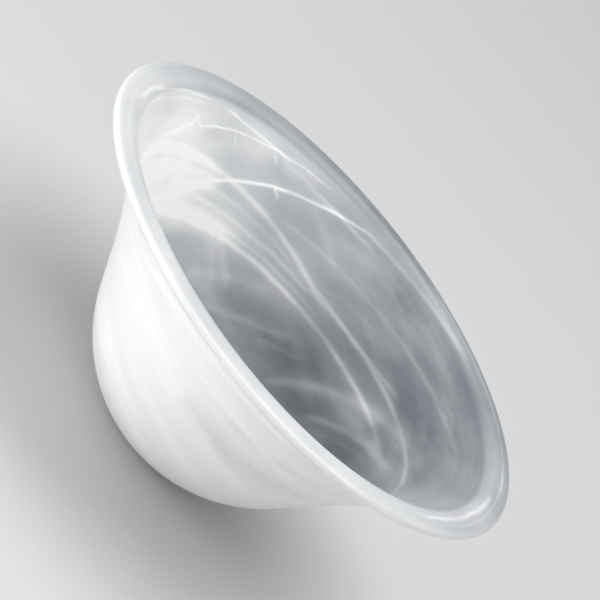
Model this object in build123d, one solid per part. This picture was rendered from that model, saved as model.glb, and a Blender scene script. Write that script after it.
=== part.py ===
from build123d import *
import math
import os

# A swirl-glass lamp diffuser standing mouth up: a bell-shaped bowl with a turned-out lip,
# and the fixing that clamps the bowl by its centre hole to a lamp's threaded tube.
# Z is the bowl's axis.  The origin is the middle of the seat hub's flat underside.
# Lengths are in millimetres and angles in degrees.

# The bowl's outside, from its seat to its lip.  A wall angle is measured from the horizontal.
rim_radius = 200.0          # outermost edge of the lip
glass_thickness = 6.0       # the same from the seat to the fire-polished rim
seat_radius = 26.0          # flat seat ground round the centre hole
seat_blend_radius = 30.0    # from the flat seat into the round bottom
dome_radius = 119.5         # the round bottom
dome_end_angle = 58.4       # where the round bottom runs into the side
side_radius = 1000.0        # the nearly straight side
side_end_angle = 60.0       # steepest part of the wall
flare_end_angle = 42.5      # wall angle where the bell turns over into the lip
lip_foot_radius = 182.5     # distance from the axis of that turn
lip_bend_radius = 6.0       # underside of the turn
lip_angle = -10.0           # the lip droops a little towards its edge
hole_radius = 10.0          # centre hole through the glass

# The centre fixing
flange_radius = 22.0        # seat hub's flange
flange_thickness = 1.5
spigot_radius = 8.0         # M16x1 thread, modelled at its crest
tube_thread_radius = 4.46   # M10x1 tapped bore, modelled at its crest
bore_chamfer = 0.8
thread_chamfer = 0.7
outer_gasket_thickness = 1.2
outer_gasket_radius = 21.5
inner_gasket_thickness = 1.5
inner_gasket_radius = 20.0
bush_radius = 9.8           # nylon sleeve in the glass hole
bush_end_gap = 0.1          # the sleeve is just shorter than the glass is thick
disc_radius = 19.0          # pressed clamp disc
disc_thickness = 1.5
disc_bead_radius = 0.9      # rolled edge of the clamp disc
washer_radius = 12.5        # internal tooth lock washer
washer_thickness = 1.0
washer_teeth = 12
tooth_gap_width = 1.6
tooth_gap_depth = 2.2
nut_across_flats = 22.0     # thin M16x1 lock nut
nut_thickness = 5.0
nut_face_inset = 0.4        # the nut's round faces stop this far inside its flats
nut_corner_angle = 25.0     # chamfer from the round face down over each corner
spigot_above_nut = 2.0
thread_clearance = 0.05     # radial gap between the spigot and what turns or slides on it
ring_clearance = 0.2        # radial gap between the spigot and the soft rings

# Heights of the stack, from the hub's underside upwards
glass_seat_height = flange_thickness + outer_gasket_thickness
glass_floor_height = glass_seat_height + glass_thickness
disc_height = glass_floor_height + inner_gasket_thickness
washer_height = disc_height + disc_thickness
nut_height = washer_height + washer_thickness
spigot_height = nut_height + nut_thickness + spigot_above_nut


def sine(angle):
    return math.sin(math.radians(angle))


def cosine(angle):
    return math.cos(math.radians(angle))


def bowl_curve(inset):
    """One face of the glass, from the hole to the start of the round rim edge.

    Every stretch starts tangent to the one before.  An inset moves the whole curve
    that far into the bowl, so inset 0 is the outside and the glass thickness the inside.
    """
    blend_angle = math.degrees(math.asin(seat_radius / (dome_radius - seat_blend_radius)))
    side_end = (dome_radius * sine(dome_end_angle)
                + side_radius * (sine(side_end_angle) - sine(dome_end_angle)))
    flare_radius = (lip_foot_radius - side_end) / (sine(side_end_angle) - sine(flare_end_angle))
    bend_end = lip_foot_radius + lip_bend_radius * (sine(flare_end_angle) - sine(lip_angle))
    edge_radius = glass_thickness / 2
    lip_end = rim_radius - edge_radius + edge_radius * sine(lip_angle)
    lip_length = (lip_end - bend_end) / cosine(lip_angle)

    seat = Line((hole_radius, glass_seat_height + inset), (seat_radius, glass_seat_height + inset))
    blend = JernArc(seat @ 1, seat % 1, seat_blend_radius - inset, blend_angle)
    dome = JernArc(blend @ 1, blend % 1, dome_radius - inset, dome_end_angle - blend_angle)
    side = JernArc(dome @ 1, dome % 1, side_radius - inset, side_end_angle - dome_end_angle)
    flare = JernArc(side @ 1, side % 1, flare_radius + inset, flare_end_angle - side_end_angle)
    bend = JernArc(flare @ 1, flare % 1, lip_bend_radius + inset, lip_angle - flare_end_angle)
    lip = Line(bend @ 1, bend @ 1 + (bend % 1) * lip_length)
    return [seat, blend, dome, side, flare, bend, lip]


def turned(edges):
    """Turn a closed outline, drawn as radius and height, about the bowl's axis."""
    outline = make_face(Plane.XZ * Curve(edges))
    return revolve(outline, Axis.Z)


def ring(inner_radius, outer_radius, base, height):
    """A plain flat ring about the axis."""
    disc = Cylinder(outer_radius, height, align=(Align.CENTER, Align.CENTER, Align.MIN))
    hole = Cylinder(inner_radius, height, align=(Align.CENTER, Align.CENTER, Align.MIN))
    return Pos(0, 0, base) * (disc - hole)


def glass_shade():
    """The bell-shaped glass, with a full round, fire-polished rim edge."""
    outside = bowl_curve(0)
    inside = bowl_curve(glass_thickness)
    lip = outside[-1]
    rim_edge = JernArc(lip @ 1, lip % 1, glass_thickness / 2, 180)
    hole_wall = Line(inside[0] @ 0, outside[0] @ 0)
    return turned(outside + [rim_edge] + inside + [hole_wall])


def seat_hub():
    """Flange under the glass with a threaded spigot up through it and a tapped bore."""
    corners = [
        (tube_thread_radius + bore_chamfer, 0),
        (flange_radius, 0),
        (flange_radius, flange_thickness),
        (spigot_radius, flange_thickness),
        (spigot_radius, spigot_height - thread_chamfer),
        (spigot_radius - thread_chamfer, spigot_height),
        (tube_thread_radius + bore_chamfer, spigot_height),
        (tube_thread_radius, spigot_height - bore_chamfer),
        (tube_thread_radius, bore_chamfer),
    ]
    return turned(Polyline(corners, close=True).edges())


def clamp_disc():
    """Pressed disc over the inner gasket, with its edge rolled up into a bead."""
    inner = spigot_radius + thread_clearance
    web = ring(inner, disc_radius - disc_bead_radius, disc_height, disc_thickness)
    bead_height = disc_height + disc_thickness / 2 + disc_bead_radius
    bead = Pos(0, 0, bead_height) * Torus(disc_radius - disc_bead_radius, disc_bead_radius)
    below = Pos(0, 0, disc_height) * Cylinder(
        disc_radius + 1, 2 * disc_bead_radius, align=(Align.CENTER, Align.CENTER, Align.MAX)
    )
    return web + bead - below


def lock_washer():
    """Flat washer whose inner edge is slotted into teeth that bite the thread."""
    inner = spigot_radius + thread_clearance
    washer = ring(inner, washer_radius, washer_height, washer_thickness)
    gap = Box(tooth_gap_depth + 1, tooth_gap_width, 3 * washer_thickness)
    gap_place = PolarLocations(inner + (tooth_gap_depth - 1) / 2, washer_teeth)
    gaps = [Pos(0, 0, washer_height) * place * gap for place in gap_place]
    return washer - gaps


def lock_nut():
    """Thin hexagon nut with its corners chamfered on both faces."""
    corner_radius = nut_across_flats / 2 / cosine(30)
    hexagon = extrude(RegularPolygon(corner_radius, 6), nut_thickness)
    face_radius = nut_across_flats / 2 - nut_face_inset
    drop = (corner_radius - face_radius) * math.tan(math.radians(nut_corner_angle))
    corners = [
        (0, 0),
        (face_radius, 0),
        (corner_radius, drop),
        (corner_radius, nut_thickness - drop),
        (face_radius, nut_thickness),
        (0, nut_thickness),
    ]
    envelope = turned(Polyline(corners, close=True).edges())
    bore = Cylinder(spigot_radius + thread_clearance, 3 * nut_thickness)
    return Pos(0, 0, nut_height) * ((hexagon & envelope) - bore)


parts = {
    "glass_shade": glass_shade(),
    "seat_hub": seat_hub(),
    "outer_gasket": ring(
        spigot_radius + ring_clearance, outer_gasket_radius, flange_thickness, outer_gasket_thickness
    ),
    "hole_bush": ring(
        spigot_radius + ring_clearance, bush_radius, glass_seat_height, glass_thickness - bush_end_gap
    ),
    "inner_gasket": ring(
        spigot_radius + ring_clearance, inner_gasket_radius, glass_floor_height, inner_gasket_thickness
    ),
    "clamp_disc": clamp_disc(),
    "lock_washer": lock_washer(),
    "lock_nut": lock_nut(),
}

os.makedirs("parts", exist_ok=True)
for node, shape in parts.items():
    export_step(shape, f"parts/{node}.step")
    print(node, shape.bounding_box())
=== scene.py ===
import bpy
import numpy as np
from mathutils import Matrix, Vector


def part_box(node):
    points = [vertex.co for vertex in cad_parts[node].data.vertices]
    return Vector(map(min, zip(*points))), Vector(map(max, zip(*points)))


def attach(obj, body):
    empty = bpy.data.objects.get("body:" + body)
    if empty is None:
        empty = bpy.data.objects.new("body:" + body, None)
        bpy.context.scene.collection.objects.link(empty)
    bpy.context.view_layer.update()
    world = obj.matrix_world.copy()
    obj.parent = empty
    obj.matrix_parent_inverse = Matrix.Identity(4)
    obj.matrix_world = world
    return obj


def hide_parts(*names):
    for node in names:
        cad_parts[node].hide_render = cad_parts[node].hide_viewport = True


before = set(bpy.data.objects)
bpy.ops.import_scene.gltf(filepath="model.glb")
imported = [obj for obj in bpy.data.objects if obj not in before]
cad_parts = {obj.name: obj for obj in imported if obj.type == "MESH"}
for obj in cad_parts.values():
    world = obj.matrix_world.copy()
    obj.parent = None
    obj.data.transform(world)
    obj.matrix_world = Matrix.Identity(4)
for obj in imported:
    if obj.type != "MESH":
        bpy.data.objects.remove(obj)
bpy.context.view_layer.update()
mm = 0.001
euler = 2.718  # base of the bell curves
print("frame loaded")

# the bowl's wall, the same curve that the CAD glass has, in millimetres and degrees
bowl = {
    "thickness": 6.0,
    "holeRadius": 10.0,
    "seatRadius": 26.0,
    "seatHeight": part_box("glass_shade")[0].z / mm,
    "blendRadius": 30.0,
    "domeRadius": 119.5,
    "domeEnd": 58.4,
    "sideRadius": 1000.0,
    "sideEnd": 60.0,
    "flareEnd": 42.5,
    "lipFoot": 182.5,
    "lipBend": 6.0,
    "lipAngle": -10.0,
    "rimRadius": 200.0,
    "turns": 440,            # columns round the axis
    "rimRows": 12,
    "rimSway": 0.35,         # how far the hot lip sagged out of true, up and down
    "wallSway": 0.25,        # and in and out
}


def sine(angle):
    return np.sin(np.radians(angle))


def cosine(angle):
    return np.cos(np.radians(angle))


def makeMesh(name, points, faces, uv=None):
    # points is n x 3 in metres, faces n x 4, uv one pair for each face corner
    mesh = bpy.data.meshes.new(name)
    mesh.vertices.add(len(points))
    mesh.vertices.foreach_set("co", points.astype(np.float32).ravel())
    mesh.loops.add(faces.size)
    mesh.loops.foreach_set("vertex_index", faces.astype(np.int32).ravel())
    mesh.polygons.add(len(faces))
    mesh.polygons.foreach_set("loop_start", np.arange(0, faces.size, 4, dtype=np.int32))
    mesh.update(calc_edges=True)
    mesh.polygons.foreach_set("use_smooth", np.ones(len(faces), dtype=bool))
    if uv is not None:
        layer = mesh.uv_layers.new(name="wallMap")
        layer.data.foreach_set("uv", uv.astype(np.float32).ravel())
    mesh.validate()
    piece = bpy.data.objects.new(name, mesh)
    bpy.context.scene.collection.objects.link(piece)
    return piece


def ringFaces(rows, columns):
    # quads of a grid that closes on itself both ways, wound so that the faces look outwards
    row, column = np.meshgrid(np.arange(rows), np.arange(columns), indexing="ij")
    nextRow, nextColumn = (row + 1) % rows, (column + 1) % columns
    corners = [row * columns + column, nextRow * columns + column,
               nextRow * columns + nextColumn, row * columns + nextColumn]
    return np.stack(corners, axis=-1).reshape(-1, 4)


def wallCurve(inset):
    # radius and height along one face of the glass, from its hole to its lip, a chain of tangent arcs:
    # an arc of radius R from slope a to slope b moves R (sin b - sin a) out and -R (cos b - cos a) up
    blendEnd = np.degrees(np.arcsin(bowl["seatRadius"] / (bowl["domeRadius"] - bowl["blendRadius"])))
    sideOut = (bowl["domeRadius"] * sine(bowl["domeEnd"])
               + bowl["sideRadius"] * (sine(bowl["sideEnd"]) - sine(bowl["domeEnd"])))
    flareRadius = (bowl["lipFoot"] - sideOut) / (sine(bowl["sideEnd"]) - sine(bowl["flareEnd"]))
    stretches = [  # radius, positive when it curls up into the bowl, then end slope and rows
        (bowl["blendRadius"] - inset, blendEnd, 7),
        (bowl["domeRadius"] - inset, bowl["domeEnd"], 38),
        (bowl["sideRadius"] - inset, bowl["sideEnd"], 8),
        (-flareRadius - inset, bowl["flareEnd"], 24),
        (-bowl["lipBend"] - inset, bowl["lipAngle"], 12),
    ]
    radii = [np.linspace(bowl["holeRadius"], bowl["seatRadius"], 6)]
    heights = [np.full(6, bowl["seatHeight"] + inset)]
    slope = 0.0
    for radius, endSlope, rows in stretches:
        angle = np.linspace(slope, endSlope, rows + 1)[1:]
        radii.append(radii[-1][-1] + radius * (sine(angle) - sine(slope)))
        heights.append(heights[-1][-1] - radius * (cosine(angle) - cosine(slope)))
        slope = endSlope
    edge = bowl["thickness"] / 2
    lipEnd = bowl["rimRadius"] - edge + (edge - inset) * sine(slope)
    run = np.linspace(0, 1, 8)[1:]
    lipOut = radii[-1][-1] + (lipEnd - radii[-1][-1]) * run
    heights.append(heights[-1][-1] + (lipOut - radii[-1][-1]) * np.tan(np.radians(slope)))
    radii.append(lipOut)
    return np.concatenate(radii), np.concatenate(heights)


def bowlProfile():
    # the closed section of the glass: outside, round rim edge, inside and hole wall; with each point
    # go its depth, the path down the wall from the lip, and inside, 0 outside and 1 inside
    outRadius, outHeight = wallCurve(0)
    inRadius, inHeight = wallCurve(bowl["thickness"])
    edge = bowl["thickness"] / 2
    midRadius = (outRadius[-1] + inRadius[-1]) / 2
    midHeight = (outHeight[-1] + inHeight[-1]) / 2
    turn = np.linspace(-90, 90, bowl["rimRows"] + 2)[1:-1] + bowl["lipAngle"]
    rimRadius = midRadius + edge * cosine(turn)
    rimHeight = midHeight + edge * sine(turn)
    step = np.hypot(np.diff(outRadius), np.diff(outHeight))
    depth = np.concatenate([np.cumsum(step[::-1])[::-1], [0]])
    rimDepth = -edge * cosine(turn - bowl["lipAngle"])
    inside = np.concatenate([np.zeros(len(depth)), np.linspace(0, 1, bowl["rimRows"] + 2)[1:-1],
                             np.ones(len(depth)), [0.5]])
    radius = np.concatenate([outRadius, rimRadius, inRadius[::-1], [bowl["holeRadius"]]])
    height = np.concatenate([outHeight, rimHeight, inHeight[::-1], [bowl["seatHeight"] + edge]])
    depth = np.concatenate([depth, rimDepth, depth[::-1], [depth[0]]])
    return radius, height, depth, inside


def makeBowl():
    radius, height, depth, inside = bowlProfile()
    columns = bowl["turns"]
    turn = np.arange(columns) * 2 * np.pi / columns - np.pi
    # the section is carried round the axis; how far the wall leans out of true is nothing at the seat
    # and most at the lip, in three slow waves round
    share = np.clip(1 - depth / depth.max(), 0, 1)[:, None] ** 2
    sway = 0.6 * np.sin(2 * turn + 0.7) + 0.3 * np.sin(3 * turn + 2.1) + 0.1 * np.sin(7 * turn + 0.4)
    lift = bowl["rimSway"] * share * sway[None]
    push = bowl["wallSway"] * share * np.sin(2 * turn + 2.6)[None] - bowl["wallSway"] * share
    r = (radius[:, None] + push) * mm
    z = (height[:, None] + lift - bowl["rimSway"] * share) * mm
    points = np.stack([r * np.sin(turn)[None], r * np.cos(turn)[None], z], axis=-1).reshape(-1, 3)
    faces = ringFaces(len(radius), columns)
    # the map runs once round in u; v is the path down from the lip in tenths of a metre
    uGrid = np.arange(columns + 1) / columns
    vGrid = np.append(depth, depth[0]) * mm * 10
    row, column = np.meshgrid(np.arange(len(radius)), np.arange(columns), indexing="ij")
    u = np.stack([uGrid[column], uGrid[column], uGrid[column + 1], uGrid[column + 1]], axis=-1)
    v = np.stack([vGrid[row], vGrid[row + 1], vGrid[row + 1], vGrid[row]], axis=-1)
    piece = makeMesh("glassBowl", points, faces, np.stack([u, v], axis=-1).reshape(-1, 2))
    for name, values in (("insideFace", inside), ("pathDepth", depth)):
        tag = piece.data.attributes.new(name, "FLOAT", "POINT")
        tag.data.foreach_set("value", np.repeat(values, columns).astype(np.float32))
    return piece


def fillSockets(tree, node, values):
    # a value is either a number to set or a socket to join
    for key, value in values.items():
        if isinstance(value, bpy.types.NodeSocket):
            tree.links.new(value, node.inputs[key])
        else:
            node.inputs[key].default_value = value
    return node


def addNode(tree, kind, values=None, **settings):
    node = tree.nodes.new(kind)
    for key, value in settings.items():
        setattr(node, key, value)
    return fillSockets(tree, node, values or {})


def placeGroup(tree, group, values=None):
    node = addNode(tree, "ShaderNodeGroup", node_tree=group)
    return fillSockets(tree, node, values or {}).outputs


def maths(tree, operation, *values, clamp=False):
    sockets = dict(enumerate(values))
    node = addNode(tree, "ShaderNodeMath", sockets, operation=operation, use_clamp=clamp)
    return node.outputs[0]


def total(tree, *parts, clamp=False):
    added = parts[0]
    for part in parts[1:-1]:
        added = maths(tree, "ADD", added, part)
    return maths(tree, "ADD", added, parts[-1], clamp=clamp)


def product(tree, *parts):
    scaled = parts[0]
    for part in parts[1:]:
        scaled = maths(tree, "MULTIPLY", scaled, part)
    return scaled


def ramp(tree, value, low, high, start=0.0, end=1.0, smooth=True):
    # value from low to high becomes start to end, held at both ends
    kind = "SMOOTHSTEP" if smooth else "LINEAR"
    values = {"Value": value, "From Min": low, "From Max": high, "To Min": start, "To Max": end}
    node = addNode(tree, "ShaderNodeMapRange", values, interpolation_type=kind)
    return node.outputs["Result"]


def noise(tree, place, scale, detail=2.0, roughness=0.5):
    values = {"Vector": place, "Scale": scale, "Detail": detail, "Roughness": roughness}
    return addNode(tree, "ShaderNodeTexNoise", values).outputs[0]


def blend(tree, share, first, second):
    node = addNode(tree, "ShaderNodeMix", {0: share, 6: first, 7: second}, data_type="RGBA")
    return node.outputs[2]


def blendNumber(tree, share, first, second):
    node = addNode(tree, "ShaderNodeMix", {0: share, 2: first, 3: second}, data_type="FLOAT")
    return node.outputs[0]


def objectAxes(tree):
    here = addNode(tree, "ShaderNodeTexCoord").outputs["Object"]
    return here, addNode(tree, "ShaderNodeSeparateXYZ", {"Vector": here}).outputs


def startGroup(name, inputs, outputs):
    # a new node group; an input given as None is a vector, any other is a number with that default
    group = bpy.data.node_groups.new(name, "ShaderNodeTree")
    for label, value in inputs.items():
        kind = "NodeSocketVector" if value is None else "NodeSocketFloat"
        socket = group.interface.new_socket(name=label, in_out="INPUT", socket_type=kind)
        if value is not None:
            socket.default_value = value
    for label, kind in outputs.items():
        group.interface.new_socket(name=label, in_out="OUTPUT", socket_type=kind)
    enter = group.nodes.new("NodeGroupInput").outputs
    leave = group.nodes.new("NodeGroupOutput").inputs
    return group, enter, leave


def makePlaceGroup():
    # where a point lies on the bowl: turn in degrees round the axis from the -Y side towards -X,
    # depth in millimetres along the wall from the lip, inside 0 on the outer face and 1 on the inner
    outputs = {"turn": "NodeSocketFloat", "depth": "NodeSocketFloat", "inside": "NodeSocketFloat",
               "place": "NodeSocketVector"}
    group, _, leave = startGroup("bowlPlace", {}, outputs)
    here, axes = objectAxes(group)
    angle = maths(group, "ARCTAN2", product(group, axes["X"], -1.0), product(group, axes["Y"], -1.0))
    group.links.new(maths(group, "DEGREES", angle), leave["turn"])
    for label, attribute in (("depth", "pathDepth"), ("inside", "insideFace")):
        value = addNode(group, "ShaderNodeAttribute", attribute_name=attribute).outputs["Fac"]
        group.links.new(value, leave[label])
    group.links.new(here, leave["place"])
    return group


def makeVeinGroup():
    # one drawn-out thread of white: it runs from one turn and depth to another, bowed by a parabola and
    # wandering by noise; its strength falls off as a bell across its width, with a wide faint skirt
    inputs = {"turn": 0.0, "depth": 0.0, "waver": 0.0, "patch": 1.0,
              "startTurn": 0.0, "startDepth": 0.0, "endTurn": 90.0, "endDepth": 0.0, "bow": 0.0,
              "wander": 1.0, "width": 1.5, "skirt": 0.2, "strength": 1.0}
    group, enter, leave = startGroup("glassVein", inputs, {"mask": "NodeSocketFloat"})
    middle = product(group, total(group, enter["startTurn"], enter["endTurn"]), 0.5)
    away = maths(group, "WRAP", maths(group, "SUBTRACT", enter["turn"], middle), 180.0, -180.0)
    span = maths(group, "SUBTRACT", enter["endTurn"], enter["startTurn"])
    along = total(group, maths(group, "DIVIDE", away, span), 0.5)
    run = maths(group, "SUBTRACT", enter["endDepth"], enter["startDepth"])
    line = maths(group, "MULTIPLY_ADD", run, along, enter["startDepth"])
    half = maths(group, "MULTIPLY_ADD", along, 2.0, -1.0)
    arch = maths(group, "SUBTRACT", 1.0, product(group, half, half))
    line = maths(group, "MULTIPLY_ADD", arch, enter["bow"], line)
    line = maths(group, "MULTIPLY_ADD", enter["waver"], enter["wander"], line)
    distance = maths(group, "ABSOLUTE", maths(group, "SUBTRACT", enter["depth"], line))
    off = maths(group, "DIVIDE", distance, enter["width"])
    core = maths(group, "POWER", euler, product(group, off, off, -1.0))
    skirt = product(group, maths(group, "POWER", euler, product(group, off, -0.35)), enter["skirt"])
    ends = product(group, ramp(group, along, -0.02, 0.12), ramp(group, along, 1.02, 0.8))
    mask = product(group, total(group, core, skirt), ends, enter["patch"], enter["strength"])
    group.links.new(mask, leave["mask"])
    return group


def makeStreakGroup():
    # soft streaks that wind round the bowl: the direction out from the axis is turned further the
    # deeper it lies, so noise on it is drawn out along a spiral and closes on itself round the axis
    inputs = {"turn": 0.0, "depth": 0.0, "twist": 1.0, "fineness": 5.0, "length": 0.01, "shift": 0.0,
              "detail": 3.0, "low": 0.4, "high": 0.7}
    group, enter, leave = startGroup("glassStreaks", inputs, {"mask": "NodeSocketFloat"})
    wound = maths(group, "MULTIPLY_ADD", enter["depth"], enter["twist"], enter["turn"])
    angle = maths(group, "RADIANS", wound)
    values = {"X": product(group, maths(group, "COSINE", angle), enter["fineness"]),
              "Y": product(group, maths(group, "SINE", angle), enter["fineness"]),
              "Z": maths(group, "MULTIPLY_ADD", enter["depth"], enter["length"], enter["shift"])}
    warped = addNode(group, "ShaderNodeCombineXYZ", values).outputs[0]
    values = {"Vector": warped, "Scale": 1.0, "Detail": enter["detail"], "Roughness": 0.55,
              "Distortion": 0.25}
    grain = addNode(group, "ShaderNodeTexNoise", values).outputs[0]
    group.links.new(ramp(group, grain, enter["low"], enter["high"]), leave["mask"])
    return group


# threads of white, and of thin glass where the strength is negative, in degrees round the axis and
# millimetres down the wall; the broad glows and shades are painted light and painted shade that lift or
# lower the milk over a region, and the lip's glints and line are painted highlights
veinLabels = ("startTurn", "startDepth", "endTurn", "endDepth", "bow", "wander", "width", "skirt",
              "strength")
innerVeins = {
    "crest": (96, 106, 181, 19, -2, 0.5, 1.25, 0.22, 0.46),
    "crestGlow": (98, 104, 132, 72, -2, 0.5, 4.0, 0.3, 0.26),
    "crestTail": (174, 25, 216, 12, -1, 0.5, 1.6, 0.2, 0.14),
    "topLace": (76, 10, 124, 21, 0, 0.5, 0.8, 0.3, 0.2),
    "topLaceFoot": (123, 21, 151, 28, 1, 0.8, 0.8, 0.35, 0.3),
    "topLaceLow": (80, 16, 118, 23, 2, 0.6, 1.0, 0.3, 0.12),
    "midLaceLeft": (94, 48, 115, 35, 4, 0.4, 0.9, 0.3, 0.24),
    "midLace": (113, 40, 165, 21, -1, 1.0, 0.85, 0.35, 0.32),
    "midLaceTail": (146, 30, 182, 30, 2, 1.2, 1.6, 0.4, 0.15),
    "spikeLeft": (111.2, 43, 114, 33, 0, 0.1, 1.8, 0.0, 0.26),
    "spikeRight": (113.6, 32, 117, 42, 0, 0.1, 1.8, 0.0, 0.26),
    "dripHigh": (129.8, 34, 131.4, 41, 0, 0.1, 2.2, 0.0, 0.16),
    "dripFar": (143.6, 30, 146.0, 36, 0, 0.1, 2.6, 0.0, 0.14),
    "dripLow": (148.6, 50, 151.6, 55, 0, 0.1, 2.2, 0.0, 0.2),
    "fanHigh": (72, 54, 132, 64, -3, 0.5, 3.4, 0.4, 0.28),
    "wedge": (90, 99, 150, 97, 0, 0.5, 6.0, 0.3, 0.26),
    "fanLow": (82, 78, 134, 67, 0, 0.5, 2.4, 0.3, 0.15),
    "fanEdge": (86, 64, 120, 68, 0, 0.5, 1.6, 0.3, 0.08),
    "sweep": (112, 58, 188, 87, -3, 0.4, 2.2, 0.45, 0.24),
    "sweepTurn": (176, 84, 284, 69, -2, 0.4, 1.8, 0.35, 0.21),
    "sweepTwin": (176, 80, 224, 67, 5, 0.5, 1.5, 0.35, 0.13),
    "long": (102, 104, 250, 89, 2, 0.5, 1.9, 0.7, 0.24),
    "longEdge": (108, 100, 190, 92, -1, 0.6, 1.3, 0.3, 0.1),
    "between": (120, 86, 184, 85, 2, 0.6, 1.8, 0.4, 0.13),
    "betweenHigh": (126, 76, 172, 84, -2, 0.6, 1.6, 0.4, 0.1),
    "far": (150, 67, 250, 37, -1, 0.5, 1.8, 0.45, 0.09),
    "farStep": (160, 41, 178, 60, 0, 0.5, 3.0, 0.3, 0.08),
    # painted shade: broad darkening of the milk over regions of the inside
    "paintedShadeFar": (140, 31, 206, 35, 0, 0.3, 12.0, 0.2, -0.17),
    "paintedShadeRight": (204, 47, 264, 57, 0, 0.3, 13.0, 0.2, -0.08),
    "paintedShadeDeep": (150, 134, 226, 122, 0, 0.3, 14.0, 0.2, -0.12),
    # painted light: broad glows that lift the milk where light shines through the wall
    "paintedGlowLow": (200, 124, 266, 84, -4, 0.5, 7.0, 0.2, 0.15),
    "paintedGlowLeft": (60, 84, 122, 76, -4, 0.8, 14.0, 0.3, 0.16),
    "backLace": (290, 60, 372, 34, 3, 0.8, 1.2, 0.4, 0.2),
    "backSweep": (280, 104, 400, 76, -4, 0.6, 2.2, 0.5, 0.22),
    "backSweepLow": (300, 96, 408, 116, 4, 0.6, 3.0, 0.4, 0.14),
    "backFan": (334, 58, 430, 84, -3, 0.6, 3.5, 0.4, 0.16),
    "backDeep": (262, 152, 330, 112, 3, 0.6, 4.0, 0.4, 0.12),
    "steep": (193, 152, 244, 68, -12, 0.5, 5.5, 0.35, 0.15),
    "steepTwin": (215, 138, 256, 84, -9, 0.5, 4.5, 0.35, 0.2),
    "steepLow": (222, 140, 252, 98, -6, 0.5, 4.0, 0.3, 0.09),
    "deepHigh": (136, 138, 172, 105, 0, 0.8, 4.5, 0.4, 0.1),
    "deepLow": (150, 150, 190, 112, 3, 0.8, 3.2, 0.4, 0.12),
    "deepThread": (178, 136, 196, 118, 0, 0.5, 2.0, 0.3, 0.08),
    "upright": (140, 101, 158, 130, 0, 0.8, 4.5, 0.3, 0.08),
    "uprightTwin": (137, 103, 152, 136, 0, 0.8, 4.5, 0.3, 0.06),
    # painted highlights along the lip: a bright line and glints on its rounded edge
    "paintedLipHighlightLine": (190, 9, 268, 7, 0, 0.2, 1.0, 0.6, 0.22),
    "paintedLipHighlight": (262, 11, 306, 8, 1, 0.3, 0.8, 0.3, 0.25),
    "paintedLipHighlightLow": (248, 8, 290, 5, 1, 0.3, 0.8, 0.3, 0.14),
}
outerVeins = {
    "ridge": (40, 52, -34, 40, -6, 0.5, 2.4, 0.4, 0.1),
    "ridgeHigh": (32, 44, -34, 20, 0, 0.5, 1.8, 0.3, 0.07),
    "belly": (44, 82, -22, 120, -4, 1.0, 3.0, 0.4, 0.06),
    "bellyHigh": (24, 65, -30, 74, 0, 0.8, 2.0, 0.3, 0.05),
    "smear": (4, 104, -58, 96, 6, 1.0, 9.0, 0.3, -0.12),
    "smearLow": (-8, 76, -56, 60, 4, 1.0, 5.0, 0.3, -0.07),
    "sideSmear": (62, 100, 146, 60, -5, 1.0, 7.0, 0.3, -0.11),
    "backSmear": (150, 52, 236, 92, 4, 1.0, 8.0, 0.3, -0.12),
    "backBelly": (164, 112, 286, 66, 5, 1.0, 3.6, 0.4, 0.09),
}

# the glass: a cloud of milk on one side of the bowl thins out towards the other, and so does the lip; this
# is partly the glass's own swirl and partly painted light, lighter on the side towards the key light, with
# painted shade away from it; each pair is a value range, in degrees round from the middle, millimetres from
# the lip or shares
swirlGlass = {
    "thin": (0.172, 0.184, 0.206, 1),
    "milk": (0.92, 0.925, 0.92, 1),
    "milkAndLightMiddle": 45.0,
    "milkAndLightEdge": (172.0, 48.0),
    "milkAndLightShare": (0.06, 0.72),
    "bottomShadeDepth": (98.0, 118.0),   # painted shade, the milk share falling a little towards the bowl's bottom
    "bottomShadeShare": (1.0, 0.76),
    "lipMiddle": 15.0,
    "lipEdge": (150.0, 60.0),
    "lipShare": (0.16, 0.62),
    "lipDepth": (14.0, 20.0),
    "streakDepth": (16.0, 34.0),    # the streaks fade in below the lip
    "ringDepth": (60.0, 0.0),       # and the rings fade in towards it
    "waverScale": 42.0,
    "waver": (6.0, -3.0),           # how far the threads wander, times the noise, plus
    "patchScale": 24.0,
    "patch": (0.5, 1.0),            # how the threads fade and strengthen along their way
    "mistScale": 14.0,
    "mistShare": (0.3, -0.18),      # times the mist, plus
    "outerDepth": (0.0, 30.0),
    "outerShare": (0.57, 0.76),
    "roughness": (0.29, 0.4),
    "waveScale": 16.0,
    "skinScale": 240.0,
    "skinShare": 0.02,
    "bumpHeight": 0.0012,
    "subsurfaceScale": 0.012,
    "coat": (0.2, 0.12),            # weight and roughness of the fire-polished skin
}
# streaks of milk, and how much of each goes into the glass
innerStreaks = {
    "falling": {"twist": 0.96, "fineness": 2.4, "length": 0.024, "shift": 3.0, "low": 0.35, "high": 0.8},
    "rising": {"twist": -1.6, "fineness": 2.0, "length": 0.03, "shift": 9.0, "low": 0.35, "high": 0.8},
    "rings": {"twist": 0.02, "fineness": 0.9, "length": 0.35, "shift": 5.0, "low": 0.35, "high": 0.7},
}
outerStreaks = {
    "wide": {"twist": 1.1, "fineness": 1.2, "length": 0.012, "shift": 1.0, "detail": 2.0,
             "low": 0.2, "high": 0.8},
    "fine": {"twist": 2.0, "fineness": 2.2, "length": 0.02, "shift": 7.0, "detail": 2.0,
             "low": 0.3, "high": 0.8},
}
streakShare = {"falling": 0.12, "rising": 0.08, "rings": 0.07, "wide": 0.16, "fine": 0.08}


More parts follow.
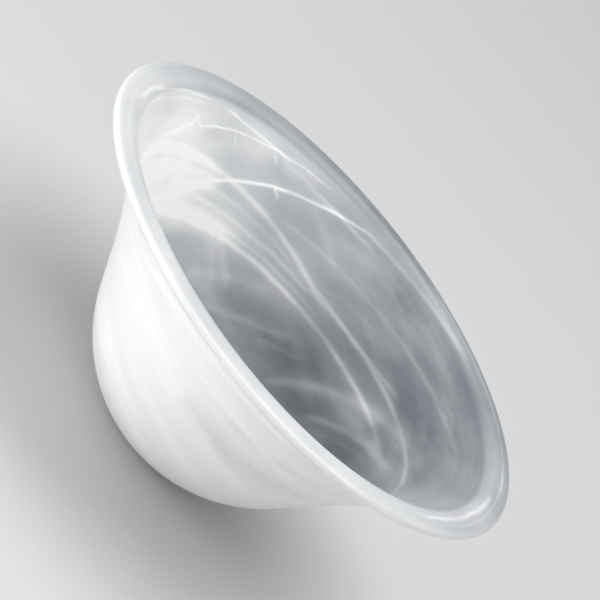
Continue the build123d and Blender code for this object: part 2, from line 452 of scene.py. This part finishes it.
def makeSwirlGlass():
    # the share of milk at a point is cloud or lip, plus streaks, mist and threads, and with them painted
    # light and painted shade; the colour runs from thin glass to milk by that share, held between the two
    finish = bpy.data.materials.new("swirlGlass")
    finish.use_nodes = True
    tree = finish.node_tree
    shader = tree.nodes["Principled BSDF"]
    where = placeGroup(tree, placeGroupOfBowl)
    turn, depth, inside, place = (where[key] for key in ("turn", "depth", "inside", "place"))
    wander = noise(tree, place, swirlGlass["waverScale"], 3.0, 0.55)
    waver = maths(tree, "MULTIPLY_ADD", wander, *swirlGlass["waver"])
    patch = ramp(tree, noise(tree, place, swirlGlass["patchScale"]), 0.3, 0.6, *swirlGlass["patch"])

    def streaks(name, values, *masks):
        mask = placeGroup(tree, streakGroup, {"turn": turn, "depth": depth, **values})["mask"]
        return product(tree, mask, *masks, streakShare[name])

    def drawn(threads):
        shared = {"turn": turn, "depth": depth, "waver": waver, "patch": patch}
        masks = (placeGroup(tree, veinGroup, {**shared, **dict(zip(veinLabels, values))})["mask"]
                 for values in threads.values())
        return total(tree, *masks)

    def oneSided(middle, edge, share):
        away = maths(tree, "WRAP", maths(tree, "SUBTRACT", turn, swirlGlass[middle]), 180.0, -180.0)
        return ramp(tree, maths(tree, "ABSOLUTE", away), *swirlGlass[edge], *swirlGlass[share])

    # painted shade: the cloud darkens towards the bowl's bottom
    bottom = ramp(tree, depth, *swirlGlass["bottomShadeDepth"], *swirlGlass["bottomShadeShare"])
    # the cloud and lip shares are partly painted light towards the key light and painted shade away from it
    cloud = product(tree, oneSided("milkAndLightMiddle", "milkAndLightEdge", "milkAndLightShare"), bottom)
    lip = oneSided("lipMiddle", "lipEdge", "lipShare")
    base = blendNumber(tree, ramp(tree, depth, *swirlGlass["lipDepth"]), lip, cloud)
    wall = ramp(tree, depth, *swirlGlass["streakDepth"])
    nearLip = ramp(tree, depth, *swirlGlass["ringDepth"])
    mist = noise(tree, place, swirlGlass["mistScale"], 3.0, 0.55)
    innerMilkAndLight = total(tree, base,
                      streaks("falling", innerStreaks["falling"], wall),
                      streaks("rising", innerStreaks["rising"], wall),
                      streaks("rings", innerStreaks["rings"], nearLip),
                      maths(tree, "MULTIPLY_ADD", mist, *swirlGlass["mistShare"]),
                      drawn(innerVeins), clamp=True)
    outerMilk = total(tree, ramp(tree, depth, *swirlGlass["outerDepth"], *swirlGlass["outerShare"]),
                      streaks("wide", outerStreaks["wide"]), streaks("fine", outerStreaks["fine"]),
                      drawn(outerVeins), clamp=True)
    milk = blendNumber(tree, inside, outerMilk, innerMilkAndLight)
    colour = blend(tree, milk, swirlGlass["thin"], swirlGlass["milk"])
    tree.links.new(colour, shader.inputs["Base Color"])
    rough = ramp(tree, mist, 0.3, 0.7, *swirlGlass["roughness"])
    tree.links.new(rough, shader.inputs["Roughness"])
    # slow waves left by the blowing, and a fine skin over them
    skin = product(tree, noise(tree, place, swirlGlass["skinScale"]), swirlGlass["skinShare"])
    height = total(tree, noise(tree, place, swirlGlass["waveScale"]), skin)
    values = {"Height": height, "Strength": 0.5, "Distance": swirlGlass["bumpHeight"]}
    tree.links.new(addNode(tree, "ShaderNodeBump", values).outputs["Normal"], shader.inputs["Normal"])
    shader.inputs["Subsurface Weight"].default_value = 1.0
    shader.inputs["Subsurface Scale"].default_value = swirlGlass["subsurfaceScale"]
    shader.inputs["Subsurface Radius"].default_value = (1.0, 1.0, 1.0)
    shader.inputs["Coat Weight"].default_value = swirlGlass["coat"][0]
    shader.inputs["Coat Roughness"].default_value = swirlGlass["coat"][1]
    return finish


placeGroupOfBowl = makePlaceGroup()
veinGroup = makeVeinGroup()
streakGroup = makeStreakGroup()
glassBowl = makeBowl()
glassBowl.data.materials.append(makeSwirlGlass())
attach(glassBowl, "root")
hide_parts("glass_shade")
print("glass bowl made")

# the brass hub that the glass sits on: a flange below it and a threaded spigot up through its hole
hub = {
    "flangeRadius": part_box("seat_hub")[1].x / mm,
    "top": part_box("seat_hub")[1].z / mm,
    "flangeHeight": 1.5,
    "flangeBevel": 0.25,
    "fillet": 0.3,           # where the spigot meets the flange
    "spigotRadius": 8.0,
    "threadFoot": 2.3,       # the spigot's thread is cut down to this height
    "spigotDepth": 0.55,
    "spigotRunOut": 0.8,
    "spigotChamfer": 0.7,
    "boreRadius": 4.46,
    "boreDepth": 0.54,
    "boreRunOut": 0.6,
    "boreChamfer": 0.8,
    "pitch": 1.0,
    "rowsPerPitch": 10,
    "columns": 96,
    "sharpAngle": 34.0,      # corners that turn more than this stay crisp
}


def hubProfile():
    # radius, height and depth of thread along one closed section, outwards under the flange, up the
    # spigot and down the bore; a cut goes in towards the axis on the spigot and away from it in the bore
    top, foot, flangeTop, fillet = hub["top"], hub["threadFoot"], hub["flangeHeight"], hub["fillet"]
    bevel, chamfer, mouth = hub["flangeBevel"], hub["spigotChamfer"], hub["boreChamfer"]
    spigot, bore, flange = hub["spigotRadius"], hub["boreRadius"], hub["flangeRadius"]
    arc = np.linspace(0, 90, 5)
    rowsPerHeight = hub["rowsPerPitch"] / hub["pitch"]
    rise = np.linspace(foot, top - chamfer, int((top - chamfer - foot) * rowsPerHeight))
    riseCut = (np.clip((rise - foot) / hub["spigotRunOut"], 0, 1)
               * np.clip((top - rise) / chamfer - 0.4, 0, 1))
    fall = np.linspace(top - mouth, mouth, int((top - 2 * mouth) * rowsPerHeight))
    fallCut = (np.clip((fall - mouth) / hub["boreRunOut"], 0, 1)
               * np.clip((top - mouth - fall) / hub["boreRunOut"], 0, 1))
    stretches = [  # radius, height and cut of each
        (np.linspace(bore + mouth, flange - bevel, 8)[:-1], 0, 0),
        (flange - bevel + bevel * sine(arc), bevel - bevel * cosine(arc), 0),
        (flange - bevel + bevel * cosine(arc), flangeTop - bevel + bevel * sine(arc), 0),
        (np.linspace(flange - bevel, spigot + fillet, 6)[1:], flangeTop, 0),
        (spigot + fillet - fillet * sine(arc[1:]), flangeTop + fillet - fillet * cosine(arc[1:]), 0),
        (spigot, rise, -hub["spigotDepth"] * riseCut),
        (np.linspace(spigot - chamfer, bore + mouth, 4), top, 0),
        (bore, fall, hub["boreDepth"] * fallCut),
    ]
    rows = [np.broadcast_arrays(*stretch) for stretch in stretches]
    return [np.concatenate([row[part] for row in rows]) for part in range(3)]


def makeHub():
    # a thread is a V cut whose bottom climbs one pitch a turn: how deep it is at a point is a triangle
    # wave of height / pitch - turn / 360, flattened a little at the crest and the root
    radius, height, cut = hubProfile()
    turn = np.arange(hub["columns"]) / hub["columns"]
    phase = (height[:, None] / hub["pitch"] - turn[None]) % 1
    groove = np.clip(1.25 * (1 - np.abs(2 * phase - 1)) - 0.12, 0, 1)
    r = (radius[:, None] + cut[:, None] * groove) * mm
    z = np.repeat(height[:, None], hub["columns"], axis=1) * mm
    angle = 2 * np.pi * turn[None]
    points = np.stack([r * np.sin(angle), r * np.cos(angle), z], axis=-1).reshape(-1, 3)
    piece = makeMesh("threadedHub", points, ringFaces(len(radius), hub["columns"]))
    piece.data.set_sharp_from_angle(angle=np.radians(hub["sharpAngle"]))
    return piece


def makeTurnedGroup():
    # marks of the cutting tool: noise on the distance from the axis and the height, drawn out round
    # the axis because the direction round it counts for little
    inputs = {"perMetre": 4000.0, "chatter": 0.4}
    group, enter, leave = startGroup("turnedMarks", inputs, {"marks": "NodeSocketFloat"})
    _, axes = objectAxes(group)
    squares = total(group, product(group, axes["X"], axes["X"]), product(group, axes["Y"], axes["Y"]))
    around = maths(group, "SINE", maths(group, "ARCTAN2", axes["Y"], axes["X"]))
    values = {"X": product(group, maths(group, "SQRT", squares), enter["perMetre"]),
              "Y": product(group, axes["Z"], enter["perMetre"]),
              "Z": product(group, around, enter["chatter"])}
    warped = addNode(group, "ShaderNodeCombineXYZ", values).outputs[0]
    group.links.new(noise(group, warped, 1.0, 2.0, 0.6), leave["marks"])
    return group


def makeTarnishGroup():
    # where handling and damp have dulled a surface: wide clouds of noise, broken up by small spots
    inputs = {"clouds": 90.0, "spots": 900.0, "low": 0.4, "high": 0.65}
    group, enter, leave = startGroup("handledTarnish", inputs, {"mask": "NodeSocketFloat"})
    here, _ = objectAxes(group)
    cloud = noise(group, here, enter["clouds"], 3.0, 0.6)
    spot = maths(group, "SUBTRACT", noise(group, here, enter["spots"]), 0.5)
    mixed = maths(group, "MULTIPLY_ADD", spot, 0.22, cloud)
    group.links.new(ramp(group, mixed, enter["low"], enter["high"]), leave["mask"])
    return group


def makeDustGroup():
    # dust that settles on what faces up: the height part of the normal, broken up by noise
    inputs = {"grain": 600.0, "amount": 0.4}
    group, enter, leave = startGroup("settledDust", inputs, {"mask": "NodeSocketFloat"})
    here, _ = objectAxes(group)
    normal = addNode(group, "ShaderNodeNewGeometry").outputs["Normal"]
    up = ramp(group, addNode(group, "ShaderNodeSeparateXYZ", {"Vector": normal}).outputs["Z"], 0.3, 1.0)
    grain = ramp(group, noise(group, here, enter["grain"], 3.0, 0.65), 0.35, 0.75)
    group.links.new(product(group, up, grain, enter["amount"]), leave["mask"])
    return group


# the fixing's finishes: clean and worn colour, clean and worn roughness, whether it is metal, tool
# marks to the metre and their depth in metres, and how much dust lies on it
finishLabels = ("clean", "worn", "roughness", "isMetal", "marks", "markDepth", "dust")
finishes = {
    "turnedBrass": ((0.74, 0.56, 0.27, 1), (0.4, 0.27, 0.12, 1), (0.29, 0.46), True, 3800.0, 0.00006, 0.3),
    "milledBrass": ((0.78, 0.6, 0.3, 1), (0.47, 0.33, 0.15, 1), (0.3, 0.44), True, 2200.0, 0.00005, 0.35),
    "zincSteel": ((0.64, 0.66, 0.69, 1), (0.5, 0.49, 0.44, 1), (0.29, 0.42), True, 2800.0, 0.00003, 0.35),
    "clearSilicone": ((0.8, 0.79, 0.75, 1), (0.66, 0.62, 0.52, 1), (0.5, 0.66), False, 900.0, 0.00008, 0.25),
    "naturalNylon": ((0.88, 0.86, 0.79, 1), (0.76, 0.7, 0.56, 1), (0.38, 0.5), False, 1600.0, 0.00004, 0.2),
}
dustColour = (0.55, 0.53, 0.5, 1)


def makeFixingFinish(name):
    # clean colour to worn by the tarnish mask, then towards dust; marks go into bump and roughness
    values = dict(zip(finishLabels, finishes[name]))
    finish = bpy.data.materials.new(name)
    finish.use_nodes = True
    tree = finish.node_tree
    shader = tree.nodes["Principled BSDF"]
    tarnish = placeGroup(tree, tarnishGroup, {"clouds": 110.0, "spots": 1200.0})["mask"]
    dust = placeGroup(tree, dustGroup, {"grain": 700.0, "amount": values["dust"]})["mask"]
    marks = placeGroup(tree, turnedGroup, {"perMetre": values["marks"]})["marks"]
    worn = blend(tree, tarnish, values["clean"], values["worn"])
    shaded = blend(tree, ramp(tree, marks, 0.3, 0.7, 0.0, 0.12), worn, values["worn"])
    tree.links.new(blend(tree, dust, shaded, dustColour), shader.inputs["Base Color"])
    dulled = total(tree, product(tree, tarnish, 0.6), product(tree, marks, 0.3), dust, clamp=True)
    rough = ramp(tree, dulled, 0, 1, *values["roughness"], smooth=False)
    tree.links.new(rough, shader.inputs["Roughness"])
    if values["isMetal"]:
        metal = maths(tree, "SUBTRACT", 1.0, dust)  # dust isn't metal
        tree.links.new(metal, shader.inputs["Metallic"])
    else:
        shader.inputs["Subsurface Weight"].default_value = 0.4
        shader.inputs["Subsurface Scale"].default_value = 0.002
        shader.inputs["Subsurface Radius"].default_value = (1.0, 0.9, 0.8)
    sockets = {"Height": marks, "Strength": 0.6, "Distance": values["markDepth"]}
    tree.links.new(addNode(tree, "ShaderNodeBump", sockets).outputs["Normal"], shader.inputs["Normal"])
    return finish


turnedGroup = makeTurnedGroup()
tarnishGroup = makeTarnishGroup()
dustGroup = makeDustGroup()
threadedHub = makeHub()
threadedHub.data.materials.append(makeFixingFinish("turnedBrass"))
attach(threadedHub, "root")
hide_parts("seat_hub")
print("hub cut and threaded")

# the rest of the fixing keeps its CAD shape
fixing = {
    "lock_nut": "milledBrass",
    "lock_washer": "zincSteel",
    "clamp_disc": "zincSteel",
    "outer_gasket": "clearSilicone",
    "inner_gasket": "clearSilicone",
    "hole_bush": "naturalNylon",
}
made = {name: makeFixingFinish(name) for name in sorted(set(fixing.values()))}
for node, name in fixing.items():
    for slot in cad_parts[node].material_slots:
        slot.material = made[name]
print("fixing finished")

# camera, in metres, degrees and millimetres of lens
viewPoint = {
    "elevation": 21.6,
    "distance": 4.0,
    "lens": 348.6,
    "lean": 37.9,          # how high the bowl's axis points above the picture's level
    "aimHeight": 0.1653,   # middle of the rim
    "aimRight": -0.0105,
    "aimUp": -0.0017,
}


def makeCamera():
    data = bpy.data.cameras.new("studioCamera")
    camera = bpy.data.objects.new("studioCamera", data)
    bpy.context.scene.collection.objects.link(camera)
    data.lens = viewPoint["lens"]
    data.sensor_width = 36
    data.clip_end = 100
    level = Vector((1, 0, 0))
    back = Vector((0, -cosine(viewPoint["elevation"]), sine(viewPoint["elevation"])))
    rise = back.cross(level)
    # the axis, seen as rise, leans over to the right
    right = rise * cosine(viewPoint["lean"]) + level * sine(viewPoint["lean"])
    up = rise * sine(viewPoint["lean"]) - level * cosine(viewPoint["lean"])
    aim = Vector((0, 0, viewPoint["aimHeight"]))
    aim += right * viewPoint["aimRight"] + up * viewPoint["aimUp"]
    turn = Matrix((right, up, back)).transposed().to_4x4()
    camera.matrix_world = Matrix.Translation(aim + back * viewPoint["distance"]) @ turn
    bpy.context.scene.camera = camera


makeCamera()
print("camera set")

# studio: a wide soft box low on the left does most of the work, a big one overhead fills
studio = {
    "floorHalf": 30.0,
    "aimHeight": 0.09,       # every light looks at this height on the axis
    "floorColour": (0.63, 0.63, 0.625, 1),
    "airColour": (0.93, 0.95, 0.98, 1),
    "airStrength": 0.38,
    "key": {"place": (-2.0, -1.5, 0.5), "size": (2.4, 0.6), "watts": 51.0},
    "top": {"place": (0.3, 0.2, 3.0), "size": (3.2, 3.2), "watts": 80.0},
    "front": {"place": (1.6, -2.6, 0.9), "size": (2.2, 1.6), "watts": 14.0},
}


def makeLight(name, values):
    data = bpy.data.lights.new(name, "AREA")
    data.shape = "RECTANGLE"
    data.size, data.size_y = values["size"]
    data.energy = values["watts"]
    light = bpy.data.objects.new(name, data)
    bpy.context.scene.collection.objects.link(light)
    place = Vector(values["place"])
    back = place - Vector((0, 0, studio["aimHeight"]))
    turn = back.to_track_quat("Z", "Y").to_matrix().to_4x4()
    light.matrix_world = Matrix.Translation(place) @ turn
    light.visible_camera = False


def makeStudio():
    half = studio["floorHalf"]
    floor = bpy.data.objects.new("paleFloor", bpy.data.meshes.new("paleFloor"))
    corners = [(-half, -half, 0), (half, -half, 0), (half, half, 0), (-half, half, 0)]
    floor.data.from_pydata(corners, [], [(0, 1, 2, 3)])
    bpy.context.scene.collection.objects.link(floor)
    finish = bpy.data.materials.new("paleFloor")
    finish.use_nodes = True
    shader = finish.node_tree.nodes["Principled BSDF"]
    shader.inputs["Base Color"].default_value = studio["floorColour"]
    shader.inputs["Roughness"].default_value = 0.7
    floor.data.materials.append(finish)
    for name in ("key", "top", "front"):
        makeLight(name + "Box", studio[name])
    air = bpy.data.worlds.new("studioAir")
    bpy.context.scene.world = air
    air.use_nodes = True
    background = air.node_tree.nodes["Background"]
    background.inputs["Color"].default_value = studio["airColour"]
    background.inputs["Strength"].default_value = studio["airStrength"]
    bpy.context.scene.view_settings.view_transform = "Standard"


makeStudio()
print("studio lit")
